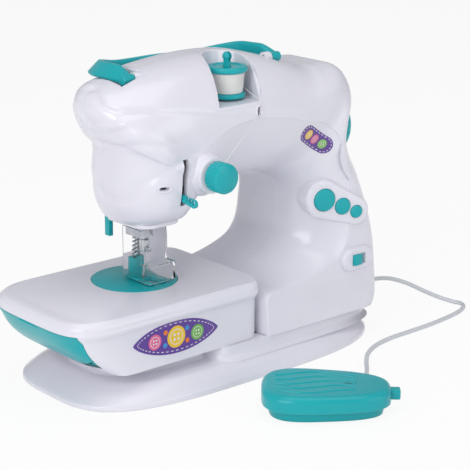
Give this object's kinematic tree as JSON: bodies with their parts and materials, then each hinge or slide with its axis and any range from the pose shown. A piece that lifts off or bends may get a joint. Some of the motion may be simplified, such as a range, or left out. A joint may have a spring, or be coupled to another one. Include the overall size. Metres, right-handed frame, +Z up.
{
  "type": "toy sewing machine",
  "caption": "Battery-driven toy sewing machine with handwheel, needle, presser foot, thread spool, accessory drawer, carry handle and a foot pedal on a lead.",
  "frame": {"origin": "middle of the base on the surface it stands on", "axes": "+X from the needle end towards the column, -Y towards the operator, +Z up"},
  "size_m": [0.3636, 0.236, 0.2179],
  "materials": {
    "white_shell": "glossy white moulding",
    "teal_plastic": "glossy teal moulding",
    "nylon": "natural nylon",
    "dark_plastic": "dark moulding",
    "steel": "bright steel",
    "brass": "turned brass",
    "battery_can": "wrapped steel can",
    "clear_guard": "clear moulded plastic",
    "belt_rubber": "black rubber",
    "thread": "white sewing thread",
    "circuit_board": "green board",
    "lead_rubber": "pale grey sleeve"
  },
  "bodies": {
    "machine": {"base_skirt": "white_shell", "base_plate": "white_shell", "battery_door": "white_shell", "battery_box": "dark_plastic", "batteries": "battery_can", "bed_shell": "white_shell", "needle_plate": "teal_plastic", "front_shell": "white_shell", "rear_shell": "white_shell", "casing_screws": "steel", "head_floor": "white_shell", "needle_guard": "clear_guard", "needle_frame": "dark_plastic", "bearing_plates": "dark_plastic", "shaft_bushes": "brass", "motor": "steel", "drive_belt": "belt_rubber", "lower_bearings": "dark_plastic", "presser_spring": "brass", "spool_well": "white_shell", "spool_pin": "teal_plastic", "thread_run": "thread", "tension_post": "steel", "tension_discs": "steel", "handle_lugs": "white_shell", "button_board": "circuit_board", "cord_grommets": "lead_rubber", "pedal_cord": "lead_rubber", "pedal_base": "teal_plastic", "pedal_pin": "steel", "pedal_spring": "steel", "pedal_switch": "dark_plastic"},
    "main_drive": {"main_shaft": "steel", "main_gear": "nylon", "crank_disc": "nylon", "upper_pulley": "dark_plastic", "handwheel": "teal_plastic"},
    "motor_rotor": {"motor_pinion": "brass"},
    "lower_drive": {"lower_shaft": "steel", "lower_pulley": "dark_plastic", "looper_hook": "steel"},
    "needle_carrier": {"needle_bar": "steel", "needle_yoke": "nylon", "take_up_lever": "teal_plastic", "needle_clamp": "steel", "clamp_screw": "steel", "needle": "steel"},
    "presser": {"presser_bar": "steel", "presser_foot": "teal_plastic", "lift_tab": "teal_plastic"},
    "spool": {"thread_spool": "teal_plastic", "spool_thread": "thread"},
    "tension_dial": {"tension_knob": "teal_plastic"},
    "handle": {"carry_handle": "teal_plastic"},
    "drawer": {"drawer": "teal_plastic"},
    "large_button": {"button_large": "teal_plastic"},
    "medium_button": {"button_medium": "teal_plastic"},
    "small_button": {"button_small": "teal_plastic"},
    "switch": {"slide_switch": "teal_plastic"},
    "pedal": {"pedal_plate": "teal_plastic"}
  },
  "joints": [
    {"name": "handwheel_turn", "type": "hinge", "parent": "machine", "child": "main_drive", "pos_m": [0, 0, 0.15], "axis": [1, 0, 0], "continuous": true},
    {"name": "motor_spin", "type": "hinge", "parent": "machine", "child": "motor_rotor", "pos_m": [0, 0.01188, 0.17798], "axis": [1, 0, 0], "continuous": true},
    {"name": "lower_spin", "type": "hinge", "parent": "machine", "child": "lower_drive", "pos_m": [0, 0, 0.041], "axis": [1, 0, 0], "continuous": true},
    {"name": "needle_stroke", "type": "slide", "parent": "machine", "child": "needle_carrier", "axis": [0, 0, 1], "range_m": [0, 0.022]},
    {"name": "presser_lift", "type": "slide", "parent": "machine", "child": "presser", "axis": [0, 0, 1], "range_m": [0, 0.007], "stiffness_N_per_m": 120, "springref_m": -0.003, "deforming": ["presser_spring"]},
    {"name": "spool_turn", "type": "hinge", "parent": "machine", "child": "spool", "pos_m": [0.0045, -0.022, 0.19], "axis": [0, 0, 1], "continuous": true},
    {"name": "tension_turn", "type": "hinge", "parent": "machine", "child": "tension_dial", "pos_m": [-0.031, -0.055, 0.144], "axis": [0, -1, 0], "range_deg": [-150, 150]},
    {"name": "handle_swing", "type": "hinge", "parent": "machine", "child": "handle", "pos_m": [0, -0.01, 0.2065], "axis": [1, 0, 0], "range_deg": [0, 80]},
    {"name": "drawer_slide", "type": "slide", "parent": "machine", "child": "drawer", "axis": [-1, 0, 0], "range_m": [0, 0.04]},
    {"name": "large_press", "type": "slide", "parent": "machine", "child": "large_button", "axis": [0.309, 0.9511, 0], "range_m": [0, 0.002], "stiffness_N_per_m": 300, "springref_m": -0.001},
    {"name": "medium_press", "type": "slide", "parent": "machine", "child": "medium_button", "axis": [0.309, 0.9511, 0], "range_m": [0, 0.002], "stiffness_N_per_m": 300, "springref_m": -0.001},
    {"name": "small_press", "type": "slide", "parent": "machine", "child": "small_button", "axis": [0.309, 0.9511, 0], "range_m": [0, 0.002], "stiffness_N_per_m": 300, "springref_m": -0.001},
    {"name": "switch_slide", "type": "slide", "parent": "machine", "child": "switch", "axis": [1, 0, 0], "range_m": [0, 0.005]},
    {"name": "pedal_press", "type": "hinge", "parent": "machine", "child": "pedal", "pos_m": [0.01644, -0.15296, 0.009], "axis": [-0.682, -0.7314, 0], "range_deg": [0, 3], "stiffness_Nm_per_rad": 0.6, "springref_deg": -1.72, "deforming": ["pedal_spring"]}
  ],
  "couplings": [
    {"joint": "motor_spin", "follows": "handwheel_turn", "ratio": -4},
    {"joint": "lower_spin", "follows": "handwheel_turn", "ratio": 1}
  ]
}
